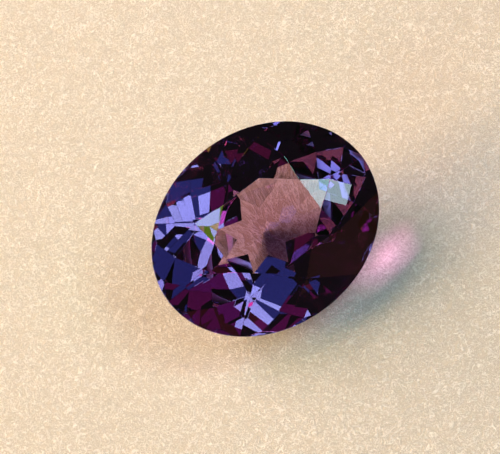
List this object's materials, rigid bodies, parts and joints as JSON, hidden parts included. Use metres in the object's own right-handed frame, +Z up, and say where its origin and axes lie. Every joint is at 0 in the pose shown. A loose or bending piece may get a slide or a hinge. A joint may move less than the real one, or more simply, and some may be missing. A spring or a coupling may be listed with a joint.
{
  "type": "oval cut alexandrite gemstone",
  "caption": "Loose oval faceted gemstone, clear blue-violet to magenta, lying on a facet beside its culet with its table tipped forwards.",
  "frame": {"origin": "below the middle of the stone's box, on the surface that it lies on", "axes": "+Z up, the stone's length along X, its table facing up and towards -Y"},
  "size_m": [0.0164, 0.0122, 0.0085],
  "materials": {
    "alexandrite": "polished"
  },
  "bodies": {
    "root": {"alexandrite": "alexandrite"}
  },
  "joints": []
}
